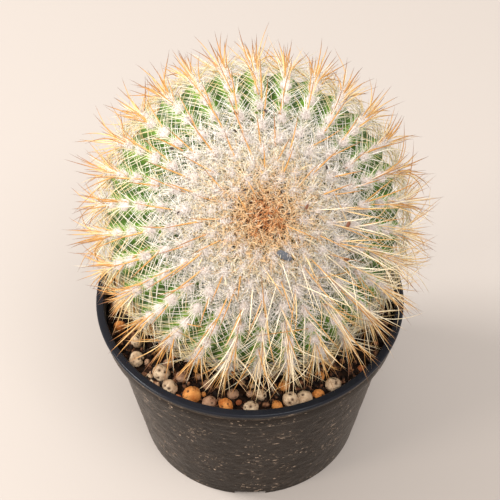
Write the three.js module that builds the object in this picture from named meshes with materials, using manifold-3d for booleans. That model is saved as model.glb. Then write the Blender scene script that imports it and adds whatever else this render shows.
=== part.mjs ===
// Potted round cactus: a many-ribbed globe that leans towards the light, rooted in a gritty mix
// in a small plastic nursery pot. Millimetres, +Z up, origin in the middle of the pot's foot.
// The side towards -Y is the front, the side that the plant leans to.
import * as THREE from 'three';
import { mergeVertices } from 'three/addons/utils/BufferGeometryUtils.js';
import Module from 'manifold-3d';

const wasm = await Module();
wasm.setup();

// ---- driving dimensions -------------------------------------------------------------------

const RIM_RADIUS = 50; // a 10 cm nursery pot
const POT_HEIGHT = 61;
const FOOT_RADIUS = 37.8;
const WALL = 1.3;
const COLLAR_HEIGHT = 8; // the smooth band under the lip
const COLLAR_TAPER = 0.8; // how much narrower the collar is at its foot
const COLLAR_STEP = 2.2; // how far the wall stands back under the collar
const COLLAR_BLEND = 1.5; // height over which the inside widens to the collar's width
const LIP_HEIGHT = 1.2;
const LIP_WIDTH = 2.7;
const LIP_OVERHANG = 0.7;
const EDGE = 0.4; // bevel of the pot's edges
const FLOOR_BOTTOM = 2.2; // the floor hangs clear of the table inside the foot ring
const FLOOR_THICKNESS = 1.4;
const FOOT_RING_WIDTH = 2.6;
const NOTCH = { count: 4, width: 10.5, height: 1.7, depth: 6 };
const DRAIN = { count: 4, radius: 4.5, fromAxis: 23, sides: 16 };
const OVERCUT = 2; // how far a cutting shape runs past what it cuts
const POT_SIDES = 64;

const CLEARANCE = 0.3; // between neighbouring pieces
const SOIL_LEVEL = 55;
const SOIL_RELIEF = 0.7; // the crumbly surface rises and falls by this much
const SOIL_RINGS = [42, 35, 28]; // radii of the surface's rings of points
const SOIL_SIDES = 48;
const PELLET_SINK = 0.3; // share of a pellet's height that is under the surface
const SMALL_PELLETS = { count: 32, smallest: 1.3, largest: 2.4, fromAxis: 27 };
const PELLET_CROWDING = 0.95; // neighbours stand this share of their radii apart, or more

const GLOBE = { x: 1, y: 0, z: 94.4, radius: 45.4 }; // to the crests of the ribs
const LEAN_DEG = 45.3; // apex from vertical, towards the front
const LEAN_TURN_DEG = 5.1; // the lean's heading from the front towards +X
const RIBS = 30;
const RIB_PHASE_DEG = 9; // first crest from the lean's heading
const RIB_DEPTH = 2.2;
const RIBS_RISE_DEG = { from: 8, to: 55 }; // the ribs deepen over this stretch from the apex
const RIBS_FADE_DEG = 110; // and fade from here to the neck
const ROOT_SIDES = 48;
const HOLE_FLARE = 9.7; // how much the stem's hole widens above the soil
const STEM_TOP = SOIL_LEVEL + 5;

// The buried stem and root from its tip up to the neck, as [radius, height] pairs.
const ROOT = [
  [7, 24],
  [11, 30],
  [19.6, 46],
  [22.6, 54],
];

const AREOLE_STEP_DEG = 9.4; // between areoles along a rib, seen from the globe's centre
const FIRST_AREOLE_DEG = 23.1; // on an even rib; an odd rib starts half a step further
const LAST_BUMP_DEG = 92; // further down, the areoles are too hidden to be shown as bumps
const AREOLE_BUMP = 1.3; // the woolly areole stands this far above the crest
const TILT_START_DEG = 75; // where the ring planes begin to turn towards the soil

const SPINE_SIDES = 3;
const SPINE_RADIUS = 0.5;
const SPINE_ROOT = 1.2; // how far a spine is sunk into the plant
const CROWN_SPINE = { shortest: 4, longest: 6 };
const UPPER_SPINE = 15.5; // on the first areoles
const LONG_SPINE = 18; // round the widest part
const UPPER_RISE_DEG = 42; // how steeply a spine stands off the skin on the upper part
const WIDEST_RISE_DEG = 48; // and round the widest part
const SECOND_SPINES_DEG = { from: 45, to: 105 }; // areoles with a second, flatter spine
const BESIDE_CREST = 0.8; // a spine is rooted this far beside the crest
const UNDER_AREOLE_DEG = 1.5; // and this far past its areole
const SPINE_REACH = 58.4; // no spine ends further out from the pot's axis
const ABOVE_RIM = 1.2; // a tip over the rim stays this far above it
const ABOVE_SOIL = 5;

const UP = new THREE.Vector3(0, 0, 1);
const RIGHT = new THREE.Vector3(1, 0, 0);
const rad = THREE.MathUtils.degToRad;
const { clamp, lerp, smoothstep, radToDeg } = THREE.MathUtils;
const WELD = 1e-4; // points closer than this are one point

// ---- helpers ------------------------------------------------------------------------------

// The same seeded draw on every run (a small linear congruential generator).
function seededRandom(seed) {
  let state = seed;
  return function draw() {
    state = (state * 1664525 + 1013904223) % 4294967296;
    return state / 4294967296;
  };
}

function toSolid(geometry) {
  const bare = geometry.clone();
  bare.deleteAttribute('normal');
  bare.deleteAttribute('uv');
  const merged = mergeVertices(bare, WELD);
  return new wasm.Manifold(
    new wasm.Mesh({
      numProp: 3,
      vertProperties: Float32Array.from(merged.attributes.position.array),
      triVerts: Uint32Array.from(merged.index.array),
    }),
  );
}

function toGeometry(solid) {
  const mesh = solid.getMesh();
  const geometry = new THREE.BufferGeometry();
  geometry.setAttribute('position', new THREE.BufferAttribute(mesh.vertProperties, 3));
  geometry.setIndex(new THREE.BufferAttribute(mesh.triVerts, 1));
  geometry.computeVertexNormals();
  return geometry;
}

function uniteAll(solids) {
  let layer = solids;
  while (layer.length > 1) {
    const next = [];
    for (let i = 0; i < layer.length; i += 2) {
      next.push(i + 1 < layer.length ? layer[i].add(layer[i + 1]) : layer[i]);
    }
    layer = next;
  }
  return layer[0];
}

// A profile of [radius, height] pairs turned about the Z axis.
function lathe(profile, sides) {
  const points = profile.map(([r, z]) => new THREE.Vector2(r, z));
  return new THREE.LatheGeometry(points, sides).rotateX(Math.PI / 2);
}

// ---- pot ----------------------------------------------------------------------------------

const COLLAR_BOTTOM = POT_HEIGHT - COLLAR_HEIGHT;
const COLLAR_RADIUS = RIM_RADIUS - LIP_OVERHANG;
const COLLAR_FOOT_RADIUS = COLLAR_RADIUS - COLLAR_TAPER;
const WALL_TOP_RADIUS = COLLAR_FOOT_RADIUS - COLLAR_STEP;
const LIP_INNER_RADIUS = RIM_RADIUS - LIP_WIDTH;

// Outer and inner radius of the pot at a height under the collar.
function wallRadius(z) {
  return lerp(FOOT_RADIUS, WALL_TOP_RADIUS, z / COLLAR_BOTTOM);
}

function innerRadius(z) {
  const inCollar = clamp((z - COLLAR_BOTTOM) / COLLAR_BLEND, 0, 1);
  return lerp(wallRadius(z) - WALL, COLLAR_FOOT_RADIUS - WALL, inCollar);
}

function makePot() {
  const floorTop = FLOOR_BOTTOM + FLOOR_THICKNESS;
  const ringInner = FOOT_RADIUS - FOOT_RING_WIDTH;
  const lipBottom = POT_HEIGHT - LIP_HEIGHT;
  const profile = [
    [0, FLOOR_BOTTOM],
    [ringInner - EDGE, FLOOR_BOTTOM],
    [ringInner, 0],
    [FOOT_RADIUS - EDGE, 0],
    [FOOT_RADIUS, EDGE],
    [WALL_TOP_RADIUS, COLLAR_BOTTOM],
    [COLLAR_FOOT_RADIUS, COLLAR_BOTTOM + EDGE],
    [COLLAR_RADIUS, lipBottom - EDGE],
    [RIM_RADIUS, lipBottom],
    [RIM_RADIUS, POT_HEIGHT - EDGE],
    [RIM_RADIUS - EDGE, POT_HEIGHT],
    [LIP_INNER_RADIUS + EDGE, POT_HEIGHT],
    [LIP_INNER_RADIUS, POT_HEIGHT - EDGE],
    [innerRadius(COLLAR_BOTTOM + COLLAR_BLEND), COLLAR_BOTTOM + COLLAR_BLEND],
    [innerRadius(COLLAR_BOTTOM), COLLAR_BOTTOM],
    [innerRadius(floorTop), floorTop],
    [0, floorTop],
  ];
  let pot = toSolid(lathe(profile, POT_SIDES));
  for (let i = 0; i < NOTCH.count; i += 1) {
    const notch = new THREE.BoxGeometry(NOTCH.width, NOTCH.depth, NOTCH.height + OVERCUT)
      .translate(0, NOTCH.depth / 2 - FOOT_RADIUS - OVERCUT, (NOTCH.height - OVERCUT) / 2)
      .rotateZ((i / NOTCH.count) * 2 * Math.PI);
    pot = pot.subtract(toSolid(notch));
  }
  const drainLength = FLOOR_THICKNESS + 2 * OVERCUT;
  for (let i = 0; i < DRAIN.count; i += 1) {
    const drain = new THREE.CylinderGeometry(DRAIN.radius, DRAIN.radius, drainLength, DRAIN.sides)
      .rotateX(Math.PI / 2)
      .translate(0, -DRAIN.fromAxis, FLOOR_BOTTOM + FLOOR_THICKNESS / 2)
      .rotateZ(((i + 0.5) / DRAIN.count) * 2 * Math.PI);
    pot = pot.subtract(toSolid(drain));
  }
  return pot;
}

// ---- potting mix --------------------------------------------------------------------------

// The pellets that lie along the front of the pot: heading from the front towards +X in degrees,
// distance from the pot's axis, and longest radius.
const FRONT_PELLETS = [
  { at: -88, out: 43.3, size: 2.4 },
  { at: -76, out: 43.4, size: 2.0 },
  { at: -65, out: 39.9, size: 2.3 },
  { at: -56, out: 43.2, size: 2.8 },
  { at: -45, out: 36.3, size: 1.9 },
  { at: -43, out: 40.6, size: 2.9 },
  { at: -35, out: 43.0, size: 2.7 },
  { at: -34, out: 37.3, size: 2.2 },
  { at: -25, out: 42.2, size: 2.9 },
  { at: -21, out: 36.2, size: 1.9 },
  { at: -17, out: 42.6, size: 2.3 },
  { at: -10, out: 42.6, size: 2.5 },
  { at: -8, out: 37.9, size: 1.9 },
  { at: 0.4, out: 42.8, size: 2.4 },
  { at: 5, out: 38.0, size: 2.1 },
  { at: 11, out: 43.1, size: 2.0 },
  { at: 17, out: 42.0, size: 2.7 },
  { at: 23, out: 42.8, size: 2.7 },
  { at: 29, out: 43.3, size: 2.0 },
  { at: 37, out: 42.8, size: 2.6 },
];

function pelletSolid(x, y, size, draw) {
  const flatness = lerp(0.7, 0.9, draw());
  const pellet = new THREE.IcosahedronGeometry(size, 0)
    .rotateX(draw() * Math.PI)
    .rotateY(draw() * Math.PI)
    .scale(1, lerp(0.78, 1, draw()), flatness)
    .rotateZ(draw() * Math.PI)
    .translate(x, y, SOIL_LEVEL + size * flatness * (1 - 2 * PELLET_SINK));
  return toSolid(pellet);
}

function makePellets() {
  const draw = seededRandom(11);
  const placed = FRONT_PELLETS.map(({ at, out, size }) => ({
    x: out * Math.sin(rad(at)),
    y: -out * Math.cos(rad(at)),
    size,
  }));
  const wanted = placed.length + SMALL_PELLETS.count;
  while (placed.length < wanted) {
    const size = lerp(SMALL_PELLETS.smallest, SMALL_PELLETS.largest, draw() ** 1.5);
    const outermost = innerRadius(SOIL_LEVEL) - size - 1;
    const out = Math.sqrt(lerp(SMALL_PELLETS.fromAxis ** 2, outermost ** 2, draw()));
    const at = draw() * 2 * Math.PI;
    const spot = { x: out * Math.sin(at), y: -out * Math.cos(at), size };
    const isClear = (other) => {
      const apart = Math.hypot(other.x - spot.x, other.y - spot.y);
      return apart > PELLET_CROWDING * (other.size + size);
    };
    if (placed.every(isClear)) placed.push(spot);
  }
  return placed.map(({ x, y, size }) => pelletSolid(x, y, size, draw));
}

// Lifts or lowers the points of the bed's surface that lie outside the stem's hole.
function roughenSurface(bed) {
  const draw = seededRandom(5);
  const points = bed.attributes.position;
  const heights = new Map();
  for (let i = 0; i < points.count; i += 1) {
    const out = Math.hypot(points.getX(i), points.getY(i));
    if (points.getZ(i) === SOIL_LEVEL && out > SMALL_PELLETS.fromAxis) {
      const spot = `${Math.round(points.getX(i) / WELD)} ${Math.round(points.getY(i) / WELD)}`;
      if (!heights.has(spot)) heights.set(spot, SOIL_LEVEL + (draw() - 0.5) * 2 * SOIL_RELIEF);
      points.setZ(i, heights.get(spot));
    }
  }
}

function makePottingMix() {
  const bottom = FLOOR_BOTTOM + FLOOR_THICKNESS + CLEARANCE;
  const profile = [
    [0, bottom],
    [innerRadius(bottom) - CLEARANCE, bottom],
    [innerRadius(COLLAR_BOTTOM) - CLEARANCE, COLLAR_BOTTOM],
    [innerRadius(SOIL_LEVEL) - CLEARANCE, SOIL_LEVEL - CLEARANCE],
    ...SOIL_RINGS.map((radius) => [radius, SOIL_LEVEL]),
    [0, SOIL_LEVEL],
  ];
  const bed = lathe(profile, SOIL_SIDES);
  roughenSurface(bed);
  const hole = lathe(stemProfile(CLEARANCE, HOLE_FLARE), ROOT_SIDES).translate(GLOBE.x, GLOBE.y, 0);
  return uniteAll([toSolid(bed), ...makePellets()]).subtract(toSolid(hole));
}

// ---- cactus -------------------------------------------------------------------------------

// The buried stem as a closed profile. Its hole in the mix is wider by a margin all round and
// flares out at the top, where the globe swells over the soil.
function stemProfile(margin, flare) {
  const [tipRadius, tipZ] = ROOT[0];
  const [neckRadius] = ROOT.at(-1);
  return [
    [0, tipZ - margin],
    [tipRadius + margin, tipZ - margin],
    ...ROOT.slice(1).map(([radius, z]) => [radius + margin, z]),
    [neckRadius + margin + flare, STEM_TOP],
    [0, STEM_TOP],
  ];
}

// Where the globe, as an angle from its leaning apex, meets the soil.
const NECK_DEG = 180 - radToDeg(Math.acos((GLOBE.z - SOIL_LEVEL) / GLOBE.radius));

// How far the plane of the ring at this angle from the apex has turned from the leaning axis
// towards the vertical. Near the apex the rings lie square to the lean, at the soil they are level.
function ringTilt(deg) {
  return LEAN_DEG * smoothstep(deg, TILT_START_DEG, NECK_DEG);
}

function ribDepth(deg) {
  const risen = smoothstep(deg, RIBS_RISE_DEG.from, RIBS_RISE_DEG.to);
  return RIB_DEPTH * risen * (1 - smoothstep(deg, RIBS_FADE_DEG, NECK_DEG - 2));
}

// The outward direction at an angle from the apex and a heading round it, both in degrees.
function outward(deg, heading) {
  return new THREE.Vector3(
    Math.sin(rad(deg)) * Math.sin(rad(heading)),
    -Math.sin(rad(deg)) * Math.cos(rad(heading)),
    Math.cos(rad(deg)),
  )
    .applyAxisAngle(RIGHT, rad(LEAN_DEG - ringTilt(deg)))
    .applyAxisAngle(UP, rad(LEAN_TURN_DEG));
}

function onGlobe(deg, heading, radius) {
  const point = outward(deg, heading).multiplyScalar(radius);
  return point.add(new THREE.Vector3(GLOBE.x, GLOBE.y, GLOBE.z));
}

function crestHeading(rib) {
  return RIB_PHASE_DEG + (rib * 360) / RIBS;
}

// The globe's rings of points: angles from the apex of those in the crown, how many follow on the
// areoles of the even and the odd ribs in turn, and how many more there are down to the soil.
const CROWN_RINGS_DEG = [4, 9, 14, 18.4];
const AREOLE_RINGS = 16;
const LOWER_RINGS = 6;

function firstAreole(rib) {
  return FIRST_AREOLE_DEG + ((rib % 2) * AREOLE_STEP_DEG) / 2;
}

// True where the ring at this angle from the apex has a bump on this rib, on the upper part of
// the globe, where the rings lie square to the lean.
function hasBump(deg, rib) {
  const steps = (deg - firstAreole(rib)) / AREOLE_STEP_DEG;
  const isAreole = Math.abs(steps - Math.round(steps)) < 0.01;
  return isAreole && deg > CROWN_RINGS_DEG.at(-1) && deg < LAST_BUMP_DEG;
}

// Radius of the globe on a rib's crest, with its areoles' bumps, or beside it in the valley.
function skinRadius(deg, rib, onCrest) {
  if (!onCrest) return GLOBE.radius - ribDepth(deg);
  return GLOBE.radius + (hasBump(deg, rib) ? AREOLE_BUMP : 0);
}

// Angles from the apex of all the rings of points.
function ringAngles() {
  const areoleRings = Array.from(
    { length: AREOLE_RINGS },
    (_, i) => FIRST_AREOLE_DEG + (i * AREOLE_STEP_DEG) / 2,
  );
  const lowerRings = Array.from(
    { length: LOWER_RINGS },
    (_, i) => lerp(areoleRings.at(-1), NECK_DEG, (i + 1) / LOWER_RINGS),
  );
  return [...CROWN_RINGS_DEG, ...areoleRings, ...lowerRings];
}

// A ring's points. The crown's inner rings have one for each rib, and the others have a crest and
// two more at the edges of the valley beyond it.
function ringPoints(deg) {
  const perRib = deg < CROWN_RINGS_DEG.at(-1) ? 1 : 3;
  const points = [];
  for (let i = 0; i < RIBS * perRib; i += 1) {
    const heading = crestHeading(i / perRib);
    points.push(onGlobe(deg, heading, skinRadius(deg, i / perRib, i % perRib === 0)));
  }
  return points;
}

// Joins two rings with triangles, where the outer ring has a whole multiple of the inner's points.
function joinRings(faces, inner, outer) {
  const ratio = outer.count / inner.count;
  for (let i = 0; i < inner.count; i += 1) {
    const here = inner.start + i;
    const next = inner.start + ((i + 1) % inner.count);
    const below = (step) => outer.start + ((i * ratio + step) % outer.count);
    faces.push(here, below(0), below(1));
    faces.push(here, below(1), next);
    for (let step = 1; step < ratio; step += 1) faces.push(next, below(step), below(step + 1));
  }
}

function makeGlobe() {
  const points = [onGlobe(0, 0, GLOBE.radius)];
  const faces = [];
  let inner = null;
  for (const deg of ringAngles()) {
    const ring = ringPoints(deg);
    const outer = { start: points.length, count: ring.length };
    points.push(...ring);
    if (inner) joinRings(faces, inner, outer);
    else for (let i = 0; i < outer.count; i += 1) faces.push(0, 1 + i, 1 + ((i + 1) % outer.count));
    inner = outer;
  }
  // The last ring is level with the soil. A flat face closes it, inside the root's collar.
  const foot = points.length;
  points.push(new THREE.Vector3(GLOBE.x, GLOBE.y, SOIL_LEVEL));
  for (let i = 0; i < inner.count; i += 1) {
    faces.push(foot, inner.start + ((i + 1) % inner.count), inner.start + i);
  }
  const geometry = new THREE.BufferGeometry().setFromPoints(points);
  geometry.setIndex(faces);
  return toSolid(geometry);
}

// A spine: a slim three-sided needle from a root sunk into the crest to a sharp tip.
function spineSolid(root, tip) {
  const axis = tip.clone().sub(root);
  const turn = new THREE.Quaternion().setFromUnitVectors(
    new THREE.Vector3(0, 1, 0),
    axis.clone().normalize(),
  );
  const middle = root.clone().add(tip).multiplyScalar(0.5);
  const needle = new THREE.ConeGeometry(SPINE_RADIUS, axis.length(), SPINE_SIDES)
    .applyQuaternion(turn)
    .translate(middle.x, middle.y, middle.z);
  return toSolid(needle);
}

// True where a spine's tip keeps inside the plant's reach and clear of the mix and the pot's rim.
function tipIsClear(tip) {
  const out = Math.hypot(tip.x, tip.y);
  const overRim = out > innerRadius(SOIL_LEVEL) - LIP_WIDTH;
  const lowest = overRim ? POT_HEIGHT + ABOVE_RIM : SOIL_LEVEL + ABOVE_SOIL;
  return out < SPINE_REACH && tip.z > lowest;
}

// A spine grown from a place on the skin. It points away from the apex, turned aside by `swing`,
// and stands off the skin by `rise`, both in degrees. It is as long as it can be up to `length`,
// or left out where there is no room for half of that.
function growSpine(deg, heading, length, rise, swing) {
  const normal = outward(deg, heading);
  const down = outward(deg + 1, heading).sub(normal).projectOnPlane(normal).normalize();
  const across = new THREE.Vector3().crossVectors(normal, down);
  const direction = normal
    .clone()
    .multiplyScalar(Math.sin(rad(rise)))
    .addScaledVector(down, Math.cos(rad(rise)) * Math.cos(rad(swing)))
    .addScaledVector(across, Math.cos(rad(rise)) * Math.sin(rad(swing)));
  const surface = onGlobe(deg, heading, GLOBE.radius);
  const root = surface.clone().addScaledVector(normal, -SPINE_ROOT);
  for (let share = 1; share > 0.5; share -= 0.04) {
    const tip = surface.clone().addScaledVector(direction, length * share);
    if (tipIsClear(tip)) return spineSolid(root, tip);
  }
  return null;
}

// All areoles of a rib as angles from the apex: even steps of the arc along its crest.
function ribAreoles(rib) {
  const stepLength = rad(AREOLE_STEP_DEG) * GLOBE.radius;
  const fineStep = 0.2;
  const lowest = NECK_DEG - 4;
  const areoles = [firstAreole(rib)];
  let travelled = 0;
  let last = onGlobe(areoles[0], crestHeading(rib), GLOBE.radius);
  for (let deg = areoles[0] + fineStep; deg < lowest; deg += fineStep) {
    const point = onGlobe(deg, crestHeading(rib), GLOBE.radius);
    travelled += point.distanceTo(last);
    last = point;
    if (travelled >= stepLength) {
      areoles.push(deg);
      travelled -= stepLength;
    }
  }
  return areoles;
}

// The crown: short bristly spines, closer together towards the apex.
function makeCrownSpines(draw) {
  const rings = [
    { deg: 3.5, count: 6 },
    { deg: 8, count: 12 },
    { deg: 13, count: 20 },
    { deg: 18, count: 28 },
  ];
  const { shortest, longest } = CROWN_SPINE;
  return rings.flatMap(({ deg, count }) =>
    Array.from({ length: count }, (_, i) => {
      const heading = ((i + draw() * 0.5) * 360) / count;
      const length = lerp(shortest, longest, draw());
      return growSpine(deg, heading, length, lerp(30, 55, draw()), lerp(-40, 40, draw()));
    }),
  );
}

// Each areole has a long spine, rooted just past its bump and beside the crest. Round the widest
// part every other areole has a second and flatter one on the crest's other side.
function makeRibSpines(rib, draw) {
  const spines = [];
  ribAreoles(rib).forEach((areole, place) => {
    const length = lerp(UPPER_SPINE, LONG_SPINE, smoothstep(areole, 20, 60)) * lerp(0.85, 1, draw());
    const steepness = smoothstep(areole, 45, 80);
    const rise = lerp(UPPER_RISE_DEG, WIDEST_RISE_DEG, steepness) + lerp(-10, 10, draw());
    const side = (rib + place) % 2 === 0 ? 1 : -1;
    const swing = side * lerp(4, 24, draw());
    const ringRadius = GLOBE.radius * Math.sin(rad(Math.min(areole, 90)));
    const beside = side * radToDeg(BESIDE_CREST / ringRadius);
    const deg = areole + UNDER_AREOLE_DEG;
    spines.push(growSpine(deg, crestHeading(rib) + beside, length, rise, swing));
    const hasSecond = areole > SECOND_SPINES_DEG.from && areole < SECOND_SPINES_DEG.to;
    if (hasSecond && place % 2 === 0) {
      spines.push(growSpine(deg, crestHeading(rib) - beside, length, 0.6 * rise, -swing));
    }
  });
  return spines;
}

function makeSpines() {
  const draw = seededRandom(3);
  const spines = makeCrownSpines(draw);
  for (let rib = 0; rib < RIBS; rib += 1) spines.push(...makeRibSpines(rib, draw));
  return spines.filter((spine) => spine !== null);
}

function makeCactus() {
  const root = lathe(stemProfile(0, 0), ROOT_SIDES).translate(GLOBE.x, GLOBE.y, 0);
  return uniteAll([makeGlobe(), toSolid(root), ...makeSpines()]);
}

// ---- the object ---------------------------------------------------------------------------

function addPiece(group, name, solid, look) {
  const mesh = new THREE.Mesh(toGeometry(solid), new THREE.MeshStandardMaterial(look));
  mesh.name = name;
  group.add(mesh);
}

const pottedCactus = new THREE.Group();
pottedCactus.name = 'potted_round_cactus';
addPiece(pottedCactus, 'pot', makePot(), { color: 0x24211f, roughness: 0.5, metalness: 0 });
addPiece(pottedCactus, 'potting_mix', makePottingMix(), { color: 0x4a3527, roughness: 1, metalness: 0 });
addPiece(pottedCactus, 'cactus', makeCactus(), { color: 0x7f9a5a, roughness: 0.85, metalness: 0 });

export default pottedCactus;
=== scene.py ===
"""The looks of a potted round cactus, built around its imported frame.

Sizes are in millimetres and angles in degrees, as in the part's source, until a mesh is made.
A place on the globe is a pair of angles: `deg` from the plant's apex, and `heading` round it,
from the front towards +X. A strand is a hair, bristle or spine.
"""

import math

import bmesh
import bpy
import numpy as np
from mathutils import Matrix, Vector, noise


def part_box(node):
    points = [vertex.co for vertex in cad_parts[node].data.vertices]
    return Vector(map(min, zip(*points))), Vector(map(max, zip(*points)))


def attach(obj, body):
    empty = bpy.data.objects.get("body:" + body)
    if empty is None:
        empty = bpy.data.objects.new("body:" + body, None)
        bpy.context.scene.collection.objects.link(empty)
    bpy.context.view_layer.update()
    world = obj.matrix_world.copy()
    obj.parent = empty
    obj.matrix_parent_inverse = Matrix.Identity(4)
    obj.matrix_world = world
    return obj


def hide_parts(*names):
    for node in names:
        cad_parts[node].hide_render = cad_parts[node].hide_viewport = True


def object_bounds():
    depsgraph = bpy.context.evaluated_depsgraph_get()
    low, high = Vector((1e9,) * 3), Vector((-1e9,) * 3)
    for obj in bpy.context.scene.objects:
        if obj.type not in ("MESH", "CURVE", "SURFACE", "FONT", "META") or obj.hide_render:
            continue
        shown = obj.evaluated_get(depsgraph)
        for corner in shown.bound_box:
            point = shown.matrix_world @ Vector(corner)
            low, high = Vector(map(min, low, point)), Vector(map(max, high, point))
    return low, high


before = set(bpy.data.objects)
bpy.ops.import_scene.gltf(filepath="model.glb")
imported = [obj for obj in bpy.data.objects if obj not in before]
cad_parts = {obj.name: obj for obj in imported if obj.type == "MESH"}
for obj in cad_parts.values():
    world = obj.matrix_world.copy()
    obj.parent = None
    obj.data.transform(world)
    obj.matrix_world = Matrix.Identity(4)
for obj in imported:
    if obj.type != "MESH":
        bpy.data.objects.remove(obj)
cad_low, cad_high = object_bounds()
pot_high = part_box("pot")[1]

# ---- driving dimensions ----

MM = 0.001

RIM_RADIUS = pot_high.x / MM
POT_HEIGHT = pot_high.z / MM
FOOT_RADIUS = 37.8
WALL = 1.3
COLLAR_HEIGHT = 8
COLLAR_STEP = 2.2
COLLAR_TAPER = 0.8
LIP_HEIGHT = 1.2
LIP_OVERHANG = 0.7
LIP_WIDTH = 2.7
FLOOR_BOTTOM = 2.2
FLOOR_TOP = FLOOR_BOTTOM + 1.4
FOOT_RING_WIDTH = 2.6
NOTCH_COUNT, NOTCH_WIDTH, NOTCH_HEIGHT = 4, 10.5, 1.7
DRAIN_COUNT, DRAIN_RADIUS, DRAIN_FROM_AXIS = 4, 4.5, 23

COLLAR_BOTTOM = POT_HEIGHT - COLLAR_HEIGHT
LIP_BOTTOM = POT_HEIGHT - LIP_HEIGHT
COLLAR_RADIUS = RIM_RADIUS - LIP_OVERHANG
COLLAR_FOOT_RADIUS = COLLAR_RADIUS - COLLAR_TAPER
WALL_TOP_RADIUS = COLLAR_FOOT_RADIUS - COLLAR_STEP
LIP_INNER_RADIUS = RIM_RADIUS - LIP_WIDTH

CLEARANCE = 0.3
SOIL_LEVEL = 55
PELLET_SINK = 0.3
SMALL_PELLETS = 32

GLOBE_CENTRE = np.array([1.0, 0.0, 94.4])
GLOBE_RADIUS = 45.4
LEAN_DEG = 45.3
LEAN_TURN_DEG = 5.1
TILT_START_DEG = 75
RIBS = 30
RIB_PHASE_DEG = 9
RIB_DEPTH = 2.2
NECK_RADIUS = 22.6
NECK_FLARE = 9.7
NECK_DEG = 180 - math.degrees(math.acos((GLOBE_CENTRE[2] - SOIL_LEVEL) / GLOBE_RADIUS))
ROOT_TIP_Z = 24
ROOT_TIP_RADIUS = 7
AREOLE_STEP_DEG = 9.4
FIRST_AREOLE_DEG = 23.1

# How far a strand may reach from the pot's axis, and how high.
SPINE_REACH, SPINE_TOP = 58.4, cad_high.z / MM

# Radius of a turned shape's smallest ring, next to its axis.
AXIS = 0.01

STRAND_BANDS = 60
MOST_TRIANGLES = 190000


# ---- number helpers ----


def smoothstep(x, start, end):
    t = np.clip((np.asarray(x, float) - start) / (end - start), 0, 1)
    return t * t * (3 - 2 * t)


def lerp(a, b, t):
    return a + (b - a) * t


def unit(vectors):
    return vectors / np.linalg.norm(vectors, axis=-1, keepdims=True)


def from_front(angle, out):
    """x and y of a place, from its angle in radians round the axis and its distance from it."""
    return out * np.sin(angle), -out * np.cos(angle)


def cap_deg(share, reach):
    """The angle from the apex that holds that share of the cap of the globe out to `reach`."""
    return np.degrees(np.arccos(1 - share * (1 - math.cos(math.radians(reach)))))


def rough(points, size, octaves=3, seed=0.0):
    """Fractal noise of about -1 to 1 at each point, with lumps `size` across."""
    shift = Vector((seed, -seed, 2 * seed))
    places = (Vector(p) / size + shift for p in np.asarray(points).reshape(-1, 3))
    values = [noise.fractal(p, 0.8, 2.0, octaves) for p in places]
    return np.array(values).reshape(np.shape(points)[:-1])


def seeded_random(seed):
    """The same seeded draw as in the part's source, so that its pellets keep their places."""
    state = seed
    while True:
        state = (state * 1664525 + 1013904223) % 4294967296
        yield state / 4294967296


# ---- mesh helpers ----


def add_object(name, data):
    made = bpy.data.objects.new(name, data)
    bpy.context.scene.collection.objects.link(made)
    return made


def make_mesh(name, points, face_groups, uv=None):
    """A mesh from points in millimetres and arrays of faces. uv has a row for each face corner."""
    corners = np.concatenate([g.ravel() for g in face_groups]).astype(np.int32)
    sizes = np.concatenate([np.full(len(g), g.shape[1]) for g in face_groups])
    starts = np.concatenate([[0], np.cumsum(sizes)[:-1]]).astype(np.int32)
    mesh = bpy.data.meshes.new(name)
    mesh.vertices.add(len(points))
    mesh.vertices.foreach_set("co", (np.asarray(points) * MM).astype(np.float32).ravel())
    mesh.loops.add(len(corners))
    mesh.polygons.add(len(sizes))
    mesh.polygons.foreach_set("loop_start", starts)
    mesh.polygons.foreach_set("vertices", corners)
    if uv is not None:
        layer = mesh.uv_layers.new(name="OFBake")
        layer.data.foreach_set("uv", np.asarray(uv, np.float32).ravel())
    mesh.update(calc_edges=True)
    mesh.validate()
    mesh.shade_smooth()
    return mesh


def add_piece(mesh, material, node):
    """Shows a mesh as a piece of the object, in place of a node of the frame."""
    piece = add_object(mesh.name, mesh)
    mesh.materials.append(material)
    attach(piece, "root")
    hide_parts(node)
    return piece


def faces_between(*corners):
    """Faces as the [row, side] of each of their corners."""
    pairs = [np.stack(np.broadcast_arrays(*corner), -1) for corner in corners]
    return np.stack(pairs, -2).reshape(-1, len(corners), 2)


def tube_faces(rows, sides):
    """Quads of a tube. Its sides are counted past the last one to where they close."""
    row, side = np.arange(rows - 1)[:, None], np.arange(sides)
    return faces_between((row, side), (row, side + 1), (row + 1, side + 1), (row + 1, side))


def closed_rings(rings, start, end):
    """Points, faces and UV of a skin over rings of points, closed by a point at either end."""
    rows, sides = rings.shape[:2]
    side = np.arange(sides)
    first_fan = faces_between((-1, side), (0, side + 1), (0, side))
    last_fan = faces_between((rows, side), (rows - 1, side), (rows - 1, side + 1))
    faces, uv = [], []
    for group in (tube_faces(rows, sides), first_fan, last_fan):
        row, side = group[..., 0], group[..., 1]
        own = np.minimum(row * sides + side % sides, rows * sides)
        faces.append(np.where(row < 0, rows * sides + 1, own))
        v = np.where(row == rows, 1, np.maximum(row, 0) / (rows + 1))
        uv.append(np.stack([side / sides, v], -1).reshape(-1, 2))
    return np.concatenate([rings.reshape(-1, 3), [end, start]]), faces, np.concatenate(uv)


def lathe_rings(profile, sides):
    """Rings of points from [radius, height] pairs turned about the Z axis."""
    radius, height = np.array(profile, float).T
    x, y = from_front(np.arange(sides) * 2 * math.pi / sides, radius[:, None])
    return np.stack([x, y, np.repeat(height[:, None], sides, 1)], -1)


def arc(centre, radius, start, end, steps):
    """Points of an arc in a profile, from one angle to another, 0 being outwards and 90 up."""
    angles = np.radians(np.linspace(start, end, steps))
    return [[centre[0] + radius * math.cos(a), centre[1] + radius * math.sin(a)] for a in angles]


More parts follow.
